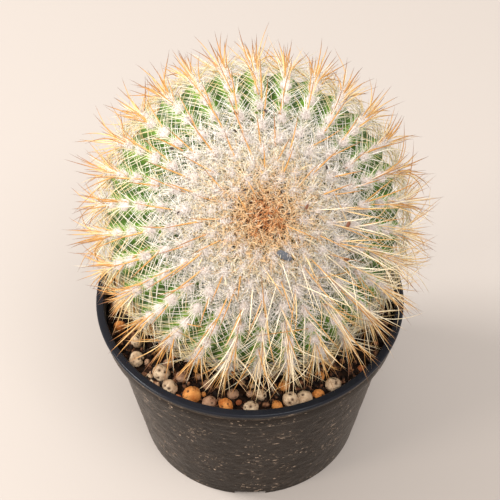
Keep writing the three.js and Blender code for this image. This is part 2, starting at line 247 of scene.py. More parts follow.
def steps_between(a, b, longest):
    """Points from a to b in a profile, in even steps no longer than that."""
    count = math.ceil(math.dist(a, b) / longest)
    return [[lerp(a[0], b[0], i / count), lerp(a[1], b[1], i / count)] for i in range(count + 1)]


def icosphere(detail):
    """Points and faces of a ball of radius 1."""
    ball = bmesh.new()
    bmesh.ops.create_icosphere(ball, subdivisions=detail, radius=1)
    ball.verts.index_update()
    points = np.array([v.co for v in ball.verts])
    faces = np.array([[v.index for v in face.verts] for face in ball.faces])
    ball.free()
    return points, faces


def copies(points, faces, clouds):
    """Joins a shape's copies into one set: clouds is an array of the copies' own points."""
    offsets = np.arange(len(clouds))[:, None, None] * len(points)
    return clouds.reshape(-1, 3), (faces[None] + offsets).reshape(-1, faces.shape[1])


def random_turns(count, rng):
    """Random rotation matrices."""
    w, x, y, z = unit(rng.normal(size=(count, 4))).T
    rows = [
        [1 - 2 * (y * y + z * z), 2 * (x * y - z * w), 2 * (x * z + y * w)],
        [2 * (x * y + z * w), 1 - 2 * (x * x + z * z), 2 * (y * z - x * w)],
        [2 * (x * z - y * w), 2 * (y * z + x * w), 1 - 2 * (x * x + y * y)],
    ]
    return np.moveaxis(np.array(rows), -1, 0)


# ---- material helpers ----


class Nodes:
    """A material's node tree, with short calls for the nodes that these materials use."""

    def __init__(self, name):
        self.material = bpy.data.materials.new(name)
        self.material.use_nodes = True
        self.tree = self.material.node_tree
        self.shader = self.tree.nodes["Principled BSDF"]

    def add(self, kind, output, inputs=None, **settings):
        """Adds a node and gives one of its outputs."""
        node = self.tree.nodes.new(kind)
        for name, value in settings.items():
            setattr(node, name, value)
        for name, value in (inputs or {}).items():
            self.put(node.inputs[name], value)
        return node.outputs[output]

    def put(self, socket, value):
        if isinstance(value, bpy.types.NodeSocket):
            self.tree.links.new(value, socket)
        else:
            socket.default_value = value

    def place(self):
        """Coordinates on the object in metres."""
        return self.add("ShaderNodeTexCoord", "Object")

    def height(self):
        """Height on the object in metres."""
        return self.add("ShaderNodeSeparateXYZ", "Z", {"Vector": self.place()})

    def uv(self):
        """The two numbers of the mesh's own UV map."""
        place = self.add("ShaderNodeUVMap", "UV", uv_map="OFBake")
        return [self.add("ShaderNodeSeparateXYZ", axis, {"Vector": place}) for axis in "XY"]

    def noise(self, size, detail=3.0, roughness=0.55, flat=1.0):
        """Noise of 0 to 1 with lumps that are `size` millimetres across, and lower by `flat`."""
        place = self.place()
        if flat != 1.0:
            inputs = {0: place, 1: (1, 1, flat)}
            place = self.add("ShaderNodeVectorMath", 0, inputs, operation="MULTIPLY")
        inputs = {"Vector": place, "Scale": 1 / (size * MM), "Detail": detail, "Roughness": roughness}
        return self.add("ShaderNodeTexNoise", "Fac", inputs)

    def ramp(self, factor, stops):
        """A colour ramp: stops are (position, colour) pairs."""
        ramp = self.add("ShaderNodeValToRGB", "Color", {"Fac": factor})
        elements = ramp.node.color_ramp.elements
        while len(elements) < len(stops):
            elements.new(1.0)
        for element, (position, colour) in zip(elements, stops):
            element.position = position
            element.color = (*colour, 1)
        return ramp

    def level(self, factor, start, end):
        """The factor stretched, so that start gives 0 and end gives 1."""
        inputs = {"Value": factor, "From Min": start, "From Max": end}
        return self.add("ShaderNodeMapRange", "Result", inputs)

    def maths(self, operation, a, b=0.0):
        return self.add("ShaderNodeMath", 0, {0: a, 1: b}, operation=operation)

    def times(self, a, b):
        return self.maths("MULTIPLY", a, b)

    def mix(self, factor, a, b, blend="MIX"):
        a, b = (c if isinstance(c, bpy.types.NodeSocket) else (*c, 1) for c in (a, b))
        inputs = {0: factor, 6: a, 7: b}
        return self.add("ShaderNodeMix", 2, inputs, data_type="RGBA", blend_type=blend)

    def bump(self, height, distance, strength=1.0):
        """A bump of that many millimetres."""
        inputs = {"Height": height, "Distance": distance * MM, "Strength": strength}
        return self.add("ShaderNodeBump", "Normal", inputs)

    def finish(self, **inputs):
        """Sets the shader's inputs, named with _ for a space."""
        for name, value in inputs.items():
            self.put(self.shader.inputs[name.replace("_", " ")], value)
        return self.material


def three(root, middle, tip):
    """The stops of a palette of three colours."""
    return [(0.0, root), (0.5, middle), (1.0, tip)]


def mottled_material(name, mottle, stops, grain, relief, **inputs):
    """Colours of a ramp over one noise, and a bump from another. A noise is its size, detail and
    roughness."""
    n = Nodes(name)
    colour = n.ramp(n.noise(*mottle), stops)
    return n.finish(Base_Color=colour, Normal=n.bump(n.noise(*grain), relief), **inputs)


# ---- pot ----

POT_SIDES = 360
PEBBLE_SIZE, PEBBLE_HEIGHT = 1.5, 0.10
CRISP_EDGE_DEG = 50

# Heights of thin tan lines round the pot, partly dust and partly a painted highlight along its edges, and
# how strong each line is.
DUST_AND_HIGHLIGHT_LINES = [(LIP_BOTTOM - 0.25, 0.8), (LIP_BOTTOM - 2.0, 0.35), (COLLAR_BOTTOM + 0.15, 0.6)]

CHARCOAL = [(0.3, (0.0055, 0.0040, 0.0032)), (0.75, (0.014, 0.0100, 0.0078))]
WORN_PLASTIC = (0.080, 0.057, 0.044)
DUST = (0.42, 0.32, 0.24)
# Colour of the thin lines round the pot: partly dust, partly painted highlight on the edges.
DUST_AND_HIGHLIGHT_LINE = (0.27, 0.20, 0.145)
# The lip: near-black plastic, tinted blue as a painted reflection.
LIP_BLACK_WITH_PAINTED_REFLECTION = (0.011, 0.012, 0.017)


def wall_radius(z):
    return lerp(FOOT_RADIUS, WALL_TOP_RADIUS, z / COLLAR_BOTTOM)


def inner_radius(z):
    in_collar = min(max((z - COLLAR_BOTTOM) / 1.5, 0), 1)
    return lerp(wall_radius(z) - WALL, COLLAR_FOOT_RADIUS - WALL, in_collar)


def collar_radius(z):
    return lerp(COLLAR_FOOT_RADIUS, COLLAR_RADIUS, (z - COLLAR_BOTTOM) / (LIP_BOTTOM - COLLAR_BOTTOM))


def pot_profile():
    """The pot's section, from the middle of its underside, up the outside and down to the floor."""
    ring_inner = FOOT_RADIUS - FOOT_RING_WIDTH
    ring_round, foot_round, step_round = 0.3, 0.4, 0.55
    collar_round, edge_round, lip_round = 0.45, 0.3, 0.62
    groove, groove_half, groove_depth = LIP_BOTTOM - 2.0, 0.35, 0.12
    under = [[AXIS, FLOOR_BOTTOM], [ring_inner - 0.9, FLOOR_BOTTOM], [ring_inner, 0.25]]
    foot = arc((ring_inner + ring_round, 0.25), ring_round, 180, 270, 4)
    foot += arc((FOOT_RADIUS - foot_round, foot_round), foot_round, -90, 0, 5)
    wall = steps_between([FOOT_RADIUS, 0.5], [WALL_TOP_RADIUS - 0.1, COLLAR_BOTTOM - 0.6], 0.55)
    step = arc((WALL_TOP_RADIUS + 0.5, COLLAR_BOTTOM - step_round), step_round, 180, 90, 5)
    collar_corner = COLLAR_FOOT_RADIUS - collar_round, COLLAR_BOTTOM + collar_round
    collar = arc(collar_corner, collar_round, -90, 0, 5)
    for up, depth in ((-groove_half, 0), (0, groove_depth), (groove_half, 0)):
        collar.append([collar_radius(groove + up) - depth, groove + up])
    collar.append([COLLAR_RADIUS - groove_depth, LIP_BOTTOM - 0.25])
    lip = arc((RIM_RADIUS - edge_round, LIP_BOTTOM + edge_round), edge_round, -90, 0, 4)
    lip += arc((RIM_RADIUS - lip_round, POT_HEIGHT - lip_round), lip_round, 0, 90, 8)
    lip += arc((LIP_INNER_RADIUS + lip_round, POT_HEIGHT - lip_round), lip_round, 90, 180, 8)
    inside = [[inner_radius(z), z] for z in (COLLAR_BOTTOM + 1.5, COLLAR_BOTTOM, FLOOR_TOP + 1)]
    inside += [[inner_radius(FLOOR_TOP) - 1, FLOOR_TOP], [AXIS, FLOOR_TOP]]
    return under + foot + wall + step + collar + lip + inside


def pebbled(rings):
    """The moulded wall below the collar has a fine pebbled face."""
    radius = np.hypot(rings[..., 0], rings[..., 1])
    height = rings[..., 2]
    outside = radius > wall_radius(height) - 0.2
    below = smoothstep(height, 1.0, 3.0) * (1 - smoothstep(height, COLLAR_BOTTOM - 3, COLLAR_BOTTOM - 1))
    relief = rough(rings * [1, 1, 0.8], PEBBLE_SIZE, 2, 3.0) * PEBBLE_HEIGHT
    scale = 1 + relief * below * outside / np.maximum(radius, 1)
    return rings * np.stack([scale, scale, np.ones_like(scale)], -1)


def pot_cutters():
    """Boxes for the notches in the foot ring and drums for the drainage holes."""
    below = 2
    shape = bmesh.new()
    for i in range(NOTCH_COUNT):
        turn = Matrix.Rotation(i * 2 * math.pi / NOTCH_COUNT, 4, "Z")
        size = Matrix.Diagonal((NOTCH_WIDTH * MM, 6 * MM, (NOTCH_HEIGHT + below) * MM, 1))
        move = Matrix.Translation((0, (1 - FOOT_RADIUS) * MM, (NOTCH_HEIGHT - below) / 2 * MM))
        bmesh.ops.create_cube(shape, size=1, matrix=turn @ move @ size)
    drum = {"cap_ends": True, "segments": 48, "depth": 10 * MM}
    drum |= {"radius1": DRAIN_RADIUS * MM, "radius2": DRAIN_RADIUS * MM}
    for i in range(DRAIN_COUNT):
        turn = Matrix.Rotation((i + 0.5) * 2 * math.pi / DRAIN_COUNT, 4, "Z")
        move = Matrix.Translation((0, -DRAIN_FROM_AXIS * MM, FLOOR_BOTTOM * MM))
        bmesh.ops.create_cone(shape, matrix=turn @ move, **drum)
    mesh = bpy.data.meshes.new("pot_cutters")
    shape.to_mesh(mesh)
    shape.free()
    return add_object("pot_cutters", mesh)


def pot_material():
    """Charcoal plastic with a smooth black lip tinted blue as a painted reflection, warm painted
    reflections on the wall, and tan dust and lime in dashes round it.
    """
    n = Nodes("pot_plastic")
    height = n.height()
    lip = n.level(height, (LIP_BOTTOM - 0.2) * MM, (LIP_BOTTOM + 0.2) * MM)
    below_collar = n.level(height, COLLAR_BOTTOM * MM, (COLLAR_BOTTOM - 6) * MM)
    worn = n.times(n.level(n.noise(2.4, 5, 0.7, 1.6), 0.54, 0.72), n.level(n.noise(16, 2), 0.40, 0.62))
    colour = n.mix(n.times(worn, below_collar), n.ramp(n.noise(14, 4), CHARCOAL), WORN_PLASTIC)
    dashes = n.level(n.noise(2.3, 2, 0.6, 3.2), 0.63, 0.69)
    dashes = n.times(dashes, n.level(n.noise(12, 3, 0.6, 1.5), 0.50, 0.60))
    specks = n.times(n.level(n.noise(1.0, 1), 0.64, 0.72), n.level(n.noise(8, 3), 0.51, 0.63))
    colour = n.mix(n.times(n.maths("MAXIMUM", dashes, specks), 0.9), colour, DUST)
    # Thin tan lines, partly dust and partly painted highlight on the edges.
    for edge, share in DUST_AND_HIGHLIGHT_LINES:
        apart = n.maths("ABSOLUTE", n.maths("SUBTRACT", height, edge * MM))
        line = n.times(n.level(apart, 0.32 * MM, 0.12 * MM), n.level(n.noise(6, 4), 0.35, 0.58))
        colour = n.mix(n.times(line, share), colour, DUST_AND_HIGHLIGHT_LINE)
    relief = n.times(n.noise(0.8, 4, 0.65, 1.5), n.level(lip, 1, 0))
    return n.finish(
        Base_Color=n.mix(lip, colour, LIP_BLACK_WITH_PAINTED_REFLECTION),
        Roughness=n.maths("SUBTRACT", n.level(n.noise(6, 4, 0.6, 2), -0.6, 2.1), n.times(lip, 0.20)),
        Normal=n.bump(relief, 0.16, 0.8),
        Specular_IOR_Level=0.15,
        # Painted reflections: a warm tint on the wall's reflections, and a bluish one on the lip's.
        Specular_Tint=n.mix(lip, (1.0, 0.76, 0.58), (0.80, 0.90, 1.0)),
        Sheen_Weight=0.06,
        Sheen_Roughness=0.35,
        Sheen_Tint=(1.0, 0.84, 0.70, 1.0),
    )


def make_pot():
    rings = pebbled(lathe_rings(pot_profile(), POT_SIDES))
    points, faces, _ = closed_rings(rings, [0, 0, FLOOR_BOTTOM], [0, 0, FLOOR_TOP])
    whole = add_object("pot_whole", make_mesh("pot_whole", points, faces))
    tool = pot_cutters()
    cut = whole.modifiers.new("cut", "BOOLEAN")
    cut.operation = "DIFFERENCE"
    cut.solver = "EXACT"
    cut.object = tool
    evaluated = whole.evaluated_get(bpy.context.evaluated_depsgraph_get())
    mesh = bpy.data.meshes.new_from_object(evaluated)
    mesh.name = "pot_moulding"
    bpy.data.objects.remove(whole)
    bpy.data.objects.remove(tool)
    mesh.shade_smooth()
    piece = add_piece(mesh, pot_material(), "pot")
    crisp = piece.modifiers.new("crisp", "EDGE_SPLIT")
    crisp.split_angle = math.radians(CRISP_EDGE_DEG)


# ---- potting mix ----

SOIL_SIDES = 300
SOIL_RING_STEP = 0.45
CRUMBS = 2100
GRAINS = 60
LARGE_PELLET = 1.8
PITS = 4

# Dark damp mix of bark, peat and grit, its crumbs of darker and lighter brown, and the dark in the
# pellets' pits and pores, partly earth and partly painted shade.
SOIL = [(0.3, (0.004, 0.002, 0.0015)), (0.5, (0.010, 0.005, 0.003)), (0.68, (0.034, 0.014, 0.007))]
CRUMB = [
    (0.36, (0.006, 0.003, 0.002)),
    (0.50, (0.018, 0.008, 0.004)),
    (0.60, (0.090, 0.034, 0.016)),
    (0.72, (0.28, 0.14, 0.075)),
]
EARTH_AND_PIT_SHADE = (0.055, 0.025, 0.012)

# Dark and light colours of the pellets.
PELLET_COLOURS = {
    "pale": ((0.40, 0.27, 0.17), (0.68, 0.53, 0.37)),
    "orange": ((0.40, 0.12, 0.022), (0.70, 0.31, 0.09)),
    "brown": ((0.24, 0.12, 0.07), (0.46, 0.29, 0.19)),
    "rust": ((0.20, 0.055, 0.020), (0.40, 0.13, 0.05)),
}

# Along the front: heading from the front towards +X, distance from the pot's axis, longest radius.
FRONT_PELLETS = [
    (-88, 43.3, 2.4, "pale"), (-76, 43.4, 2.0, "orange"), (-65, 39.9, 2.3, "pale"),
    (-56, 43.2, 2.8, "pale"), (-45, 36.3, 1.9, "brown"), (-43, 40.6, 2.9, "pale"),
    (-35, 43.0, 2.7, "pale"), (-34, 37.3, 2.2, "brown"), (-25, 42.2, 2.9, "orange"),
    (-21, 36.2, 1.9, "brown"), (-17, 42.6, 2.3, "brown"),
    (-10, 42.6, 2.5, "orange"), (-8, 37.9, 1.9, "brown"), (0.4, 42.8, 2.4, "pale"),
    (5, 38.0, 2.1, "pale"), (11, 43.1, 2.0, "orange"), (17, 42.0, 2.7, "pale"),
    (23, 42.8, 2.7, "pale"), (29, 43.3, 2.0, "orange"), (37, 42.8, 2.6, "pale"),
]


def root_profile(margin):
    """The hole that the buried stem and root stand in, or with no margin the root itself."""
    flare = NECK_FLARE if margin else 0
    return [
        [AXIS, ROOT_TIP_Z - margin],
        [ROOT_TIP_RADIUS + margin, ROOT_TIP_Z - margin],
        [ROOT_TIP_RADIUS + 4 + margin, ROOT_TIP_Z + 6],
        [NECK_RADIUS - 3 + margin, SOIL_LEVEL - 9],
        [NECK_RADIUS + margin, SOIL_LEVEL - 1],
        [NECK_RADIUS + margin + flare, SOIL_LEVEL + 5],
    ]


def soil_height(x, y):
    """Height of the crumbly surface of the mix."""
    places = np.stack([x, y, np.zeros_like(x)], -1)
    broad = rough(places, 9, 2, 1.0) * 0.6
    fine = rough(places, 2.0, 3, 5.0) * 0.75
    return SOIL_LEVEL + broad + fine


def make_soil_bed():
    bottom = FLOOR_TOP + CLEARANCE
    outer = inner_radius(SOIL_LEVEL) - CLEARANCE
    mouth = NECK_RADIUS + CLEARANCE + NECK_FLARE / 6
    sides = [[AXIS, bottom]] + [[inner_radius(z) - CLEARANCE, z] for z in (bottom, COLLAR_BOTTOM)]
    top = steps_between([outer, SOIL_LEVEL], [mouth, SOIL_LEVEL], SOIL_RING_STEP)
    hole = [[r, z] for r, z in reversed(root_profile(CLEARANCE)) if z < SOIL_LEVEL]
    rings = lathe_rings(sides + top + hole, SOIL_SIDES)
    rings[len(sides) + len(top) :, :, 0] += GLOBE_CENTRE[0]
    surface = rings[len(sides) : len(sides) + len(top)]
    lift = smoothstep(np.hypot(surface[..., 0], surface[..., 1]), mouth, mouth + 3)
    surface[..., 2] = lerp(SOIL_LEVEL - 0.8, soil_height(surface[..., 0], surface[..., 1]), lift)
    tip = [GLOBE_CENTRE[0], 0, ROOT_TIP_Z - CLEARANCE]
    points, faces, _ = closed_rings(rings, [0, 0, bottom], tip)
    material = mottled_material(
        "potting_mix", (2.2, 5, 0.7), SOIL, (0.6, 4, 0.7), 0.25, Roughness=0.95, Specular_IOR_Level=0.15
    )
    add_piece(make_mesh("soil_bed", points, faces), material, "potting_mix")


def ring_spots(count, inner, outer, rng):
    """Places spread evenly over a ring round the pot's axis."""
    out = np.sqrt(rng.uniform(inner**2, outer**2, count))
    return from_front(rng.uniform(0, 2 * math.pi, count), out)


def make_crumbs():
    """Bark and peat crumbs, sunk a little into the bed."""
    rng = np.random.default_rng(21)
    x, y = ring_spots(CRUMBS, NECK_RADIUS + 2, inner_radius(SOIL_LEVEL) - 1.3, rng)
    size = 0.45 + 0.95 * rng.random(CRUMBS) ** 2
    ball, faces = icosphere(1)
    stretch = rng.uniform(0.6, 1.15, (CRUMBS, 1, 3))
    knobs = 1 + rng.uniform(-0.22, 0.22, (CRUMBS, len(ball), 1))
    local = ball[None] * stretch * knobs
    local = np.einsum("nij,nkj->nki", random_turns(CRUMBS, rng), local) * size[:, None, None]
    centre = np.stack([x, y, soil_height(x, y) + size * 0.35], -1)
    points, faces = copies(ball, faces, local + centre[:, None])
    mesh = make_mesh("soil_crumbs", points, [faces])
    mesh.shade_flat()
    material = mottled_material(
        "soil_crumbs", (1.7, 1, 0.3), CRUMB, (0.4, 3, 0.7), 0.12, Roughness=0.8, Specular_IOR_Level=0.25
    )
    add_piece(mesh, material, "potting_mix")


def has_room(x, y, size, others, closeness):
    """Whether a pellet keeps clear of the others, which may overlap where closeness is under 1."""
    return all(math.hypot(p[0] - x, p[1] - y) > closeness * (p[2] + size) for p in others)


def pellet_places():
    """Every pellet of the frame's mix: x, y, size, colour, flatness, width and turn."""
    draw = seeded_random(11)
    placed = []
    for heading, out, size, colour in FRONT_PELLETS:
        placed.append((*from_front(math.radians(heading), out), size, colour))
    while len(placed) < len(FRONT_PELLETS) + SMALL_PELLETS:
        size = lerp(1.3, 2.4, next(draw) ** 1.5)
        outermost = inner_radius(SOIL_LEVEL) - size - 1
        out = math.sqrt(lerp(27**2, outermost**2, next(draw)))
        x, y = from_front(next(draw) * 2 * math.pi, out)
        if has_room(x, y, size, placed, 0.95):
            colour = list(PELLET_COLOURS)[len(placed) % len(PELLET_COLOURS)]
            placed.append((x, y, size, colour))
    shaped = []
    for pellet in placed:
        flatness = lerp(0.7, 0.9, next(draw))
        next(draw)
        next(draw)
        width = lerp(0.78, 1, next(draw))
        shaped.append((*pellet, flatness, width, next(draw) * math.pi))
    return shaped


def extra_pellets(rng, taken):
    """Smaller grit between the frame's pellets."""
    extra = []
    while len(extra) < GRAINS:
        size = 0.8 + 0.7 * rng.random() ** 2
        x, y = (float(v[0]) for v in ring_spots(1, 28, inner_radius(SOIL_LEVEL) - size - 0.6, rng))
        if has_room(x, y, size, taken + extra, 0.8):
            colour = str(rng.choice(list(PELLET_COLOURS), p=[0.35, 0.2, 0.3, 0.15]))
            shape = (rng.uniform(0.7, 0.95), rng.uniform(0.8, 1), rng.uniform(0, 3))
            extra.append((x, y, size, colour, *shape))
    return extra


def pellet_points(ball, x, y, size, flatness, width, turn, seed):
    """A rounded grain with a knobbly, pitted face: its points and how deep in a pit each is."""
    rng = np.random.default_rng(int(seed * 10))
    lumps = rough(ball, 0.9, 2, seed) * 0.10
    pores = np.minimum(0, rough(ball, 0.34, 2, seed + 9) + 0.22) * 0.16
    pits = np.zeros(len(ball))
    for _ in range(PITS):
        way = unit(rng.normal(size=3) + [0, 0, 0.9])
        apart = np.degrees(np.arccos(np.clip(ball @ way, -1, 1)))
        pits = np.maximum(pits, 1 - smoothstep(apart, 5, rng.uniform(11, 21)))
    shape = ball * (1 + lumps + pores - 0.16 * pits)[:, None] * [1, width, flatness]
    c, s = math.cos(turn), math.sin(turn)
    shape = shape @ np.array([[c, s, 0], [-s, c, 0], [0, 0, 1]])
    lift = SOIL_LEVEL + size * flatness * (1 - 2 * PELLET_SINK)
    return shape * size + [x, y, lift], pits


def pellet_material(name, dark, light):
    """Fired clay or pumice: chalky, with pits and pores darkened partly by earth in them and partly as
    painted shade.
    """
    n = Nodes(name)
    colour = n.mix(n.level(n.noise(2.5, 4), 0.35, 0.65), dark, light)
    pores = n.level(n.noise(0.75, 3, 0.65), 0.42, 0.35)
    # Pits and pores: partly earth in them, partly painted shade.
    pits = n.add("ShaderNodeAttribute", "Fac", attribute_name="pit")
    colour = n.mix(n.maths("MAXIMUM", n.times(pores, 0.6), pits), colour, EARTH_AND_PIT_SHADE)
    normal = n.bump(n.noise(0.5, 4, 0.7), 0.12)
    return n.finish(Base_Color=colour, Roughness=0.85, Normal=normal, Specular_IOR_Level=0.25)


def make_pellets():
    rng = np.random.default_rng(31)
    pellets = pellet_places()
    pellets += extra_pellets(rng, pellets)
    coarse, fine = icosphere(3), icosphere(4)
    for colour, (dark, light) in PELLET_COLOURS.items():
        points, depths, face_sets = np.empty((0, 3)), [], []
        for number, (x, y, size, own_colour, *shape) in enumerate(pellets):
            if own_colour == colour:
                ball, faces = fine if size > LARGE_PELLET else coarse
                cloud, pits = pellet_points(ball, x, y, size, *shape, number * 1.7)
                face_sets.append(faces + len(points))
                points = np.concatenate([points, cloud])
                depths.append(pits)
        name = f"pellets_{colour}"
        mesh = make_mesh(name, points, [np.concatenate(face_sets)])
        pit = mesh.attributes.new("pit", "FLOAT", "POINT")
        pit.data.foreach_set("value", np.concatenate(depths).astype(np.float32))
        add_piece(mesh, pellet_material(name, dark, light), "potting_mix")


# ---- globe ----

COLUMNS_A_RIB = 14
CROWN_ROWS, SIDE_ROWS = 14, 134
CROWN_EDGE_DEG = 20

# Skin from its valleys, darkened partly as painted shade, to its crests; its flecks; painted shade round
# the crown; and brown under the mat, darkened further as painted shade.
SKIN_AND_VALLEY_SHADE = three((0.014, 0.050, 0.005), (0.118, 0.262, 0.025), (0.33, 0.50, 0.085))
SKIN_FLECKS = (0.36, 0.45, 0.18)
SHADED_SKIN = (0.022, 0.060, 0.008)
CROWN_SKIN_AND_SHADE = (0.060, 0.026, 0.010)


def outward(deg, heading):
    """The outward direction at a place on the globe."""
    deg, heading = np.broadcast_arrays(np.asarray(deg, float), np.asarray(heading, float))
    a, h = np.radians(deg), np.radians(heading)
    lean = np.radians(LEAN_DEG * (1 - smoothstep(deg, TILT_START_DEG, NECK_DEG)))
    x, y, z = np.sin(a) * np.sin(h), -np.sin(a) * np.cos(h), np.cos(a)
    y, z = y * np.cos(lean) - z * np.sin(lean), y * np.sin(lean) + z * np.cos(lean)
    turn = math.radians(LEAN_TURN_DEG)
    c, s = math.cos(turn), math.sin(turn)
    return np.stack([x * c - y * s, x * s + y * c, z], -1)


def local_frame(deg, heading):
    """Outward, away from the apex, and across, at places on the globe."""
    normal = outward(deg, heading)
    down = outward(np.asarray(deg) + 0.5, heading) - normal
    down = unit(down - normal * np.sum(down * normal, -1, keepdims=True))
    return normal, down, np.cross(normal, down)


def crest_heading(rib):
    return RIB_PHASE_DEG + np.asarray(rib) * 360 / RIBS


def rib_areoles(rib):
    """A rib's areoles as angles from the apex: even steps of the arc along its crest."""
    start = FIRST_AREOLE_DEG + (rib % 2) * AREOLE_STEP_DEG / 2
    deg = np.arange(start, NECK_DEG - 4, 0.2)
    path = outward(deg, crest_heading(rib)) * GLOBE_RADIUS
    travelled = np.concatenate([[0], np.cumsum(np.linalg.norm(np.diff(path, axis=0), axis=1))])
    step = math.radians(AREOLE_STEP_DEG) * GLOBE_RADIUS
    return np.interp(np.arange(0, travelled[-1], step), travelled, deg)


def areole_places():
    """Every areole: its angle from the apex and its heading. The youngest one of each rib has no
    swelling yet."""
    places = []
    for rib in range(RIBS):
        youngest = FIRST_AREOLE_DEG - AREOLE_STEP_DEG * (1 - 0.5 * (rib % 2))
        places += [(deg, float(crest_heading(rib))) for deg in (youngest, *rib_areoles(rib))]
    return np.array(places)


def rib_depth(deg):
    return RIB_DEPTH * smoothstep(deg, 8, 55) * (1 - smoothstep(deg, 110, NECK_DEG - 2))


def skin_radius(deg, ribs):
    """Radius of the skin at a place given by its angle from the apex and its count of ribs. Each
    areole sits on a swelling of the crest."""
    valley = np.sin(math.pi * (ribs - np.round(ribs))) ** 2
    swelling = np.zeros(np.broadcast(deg, ribs).shape)
    for parity in (0, 1):
        areoles = rib_areoles(parity)
        steps = np.interp(deg, areoles, np.arange(len(areoles)))
        wave = 0.5 + 0.5 * np.cos(2 * math.pi * (steps - 0.08))
        swelling = np.where(np.round(ribs) % 2 == parity, wave, swelling)
    fade = smoothstep(deg, 14, 30) * (1 - smoothstep(deg, 120, NECK_DEG - 3))
    return GLOBE_RADIUS - rib_depth(deg) * valley - (1 - swelling) * 0.9 * (1 - valley) ** 2 * fade


def skin_material():
    """Green skin: paler and yellower on the crests, deep green in the valleys and partly painted shade
    there, finely mottled, with painted shade round the crown and brown under the mat darkened as painted
    shade.
    """
    n = Nodes("cactus_skin")
    across, upwards = n.uv()
    wave = n.maths("COSINE", n.times(across, 2 * math.pi * RIBS))
    # Deep green in the valleys, partly painted shade, to pale on the crests.
    crest = n.level(n.maths("ADD", wave, n.times(n.noise(1.6, 4), 1.2)), -0.6, 1.8)
    flecks = n.times(n.level(n.noise(0.45, 2), 0.6, 0.75), 0.35)
    colour = n.mix(flecks, n.ramp(crest, SKIN_AND_VALLEY_SHADE), SKIN_FLECKS)
    # Painted shade round the crown, then brown skin under the mat, darkened further as painted shade.
    colour = n.mix(n.level(upwards, 0.74, 0.84), colour, SHADED_SKIN)
    colour = n.mix(n.level(upwards, 0.885, 0.955), colour, CROWN_SKIN_AND_SHADE)
    normal = n.bump(n.noise(0.5, 3), 0.06)
    return n.finish(Base_Color=colour, Roughness=0.6, Normal=normal, Specular_IOR_Level=0.2)


def make_skin():
    columns = RIBS * COLUMNS_A_RIB
    ribs = np.arange(columns) / COLUMNS_A_RIB
    crown = np.linspace(1.2, CROWN_EDGE_DEG, CROWN_ROWS)[:-1]
    deg = np.concatenate([crown, np.linspace(CROWN_EDGE_DEG, NECK_DEG, SIDE_ROWS)])[:, None]
    heading = crest_heading(ribs)[None, :]
    radius = skin_radius(deg, ribs[None, :])
    globe = GLOBE_CENTRE + outward(deg, heading) * radius[..., None]
    globe += outward(deg, heading) * (rough(globe, 4, 2, 7.0) * 0.16)[..., None]
    globe[-1, :, 2] = SOIL_LEVEL
    stem = lathe_rings([[r, z] for r, z in reversed(root_profile(0)) if z < SOIL_LEVEL], columns)
    shift = round(crest_heading(0) + LEAN_TURN_DEG) * columns // 360
    stem = np.roll(stem, -shift, axis=1) + [GLOBE_CENTRE[0], 0, 0]
    rings = np.concatenate([globe, stem])[::-1]
    apex = GLOBE_CENTRE + outward(0, 0) * GLOBE_RADIUS
    mesh = make_mesh("cactus_body", *closed_rings(rings, [GLOBE_CENTRE[0], 0, ROOT_TIP_Z], apex))
    add_piece(mesh, skin_material(), "cactus")


# ---- strands ----


def strand_mesh(name, lines, thickness, beside, bands, sides, keen):
    """Closed prisms that taper to a point. Each strand has a row of points in `lines`, a
    thickness at its root, and a direction beside it. The more `keen` is over 1, the later it
    tapers. In UV its sides lie in its band (u), with its root at 0 and its tip at 1 (v)."""
    count, steps = lines.shape[:2]
    tip = steps - 1
    tangent = unit(np.gradient(lines, axis=1))
    across = unit(np.cross(tangent, beside[:, None, :]))
    upward = np.cross(tangent, across)
    turn = np.arange(sides) * 2 * math.pi / sides
    spokes = across[:, :, None] * np.cos(turn)[:, None] + upward[:, :, None] * np.sin(turn)[:, None]
    taper = (1 - np.linspace(0, 1, steps) ** keen) * 0.5
    radius = thickness[:, None] * taper[None, :]
    rings = lines[:, :-1, None] + (spokes * radius[..., None, None])[:, :-1]
    points = np.concatenate([rings.reshape(count, -1, 3), lines[:, -1:]], 1)
    stride = points.shape[1]
    starts = (np.arange(count) * stride)[:, None, None]
    side = np.arange(sides)
    cone = faces_between((tip - 1, side), (tip - 1, side + 1), (tip, side + 0.5))
    root = np.stack([0 * side, side[::-1]], -1)[None]
    faces, uv = [], []
    for group in (tube_faces(tip, sides), cone, root):
        ring, side = group[..., 0], group[..., 1]
        own = np.minimum(ring * sides + side % sides, stride - 1).astype(int)
        faces.append((own[None] + starts).reshape(-1, own.shape[1]))
        u = (bands[:, None] + 0.1 + 0.8 * (side.ravel() / sides)) / STRAND_BANDS
        v = np.broadcast_to(ring.ravel() / tip, u.shape)
        uv.append(np.stack([u, v], -1).reshape(-1, 2))
    return make_mesh(name, points.reshape(-1, 3), faces, np.concatenate(uv))


def add_strands(name, strands, material, sides=3, keen=2.5):
    """Shows strands as pieces of the cactus, none with more than MOST_TRIANGLES triangles."""
    count, steps = strands[0].shape[:2]
    triangles = 2 * (steps - 2) * sides + sides + (sides - 2)
    parts = math.ceil(count / (MOST_TRIANGLES // triangles))
    for i in range(parts):
        pick = slice(i * count // parts, (i + 1) * count // parts)
        label = name if parts == 1 else f"{name}_{i + 1}"
        mesh = strand_mesh(label, *(values[pick] for values in strands), sides, keen)
        add_piece(mesh, material, "cactus")


def is_clear(lines):
    """True where every point keeps within the plant's reach, and clear of the mix and the rim."""
    out = np.hypot(lines[..., 0], lines[..., 1])
    low = np.where(out > LIP_INNER_RADIUS - 3, POT_HEIGHT + 0.9, SOIL_LEVEL + 1.6)
    fits = (out < SPINE_REACH) & (lines[..., 2] > low) & (lines[..., 2] < SPINE_TOP)
    return np.all(fits, axis=1)


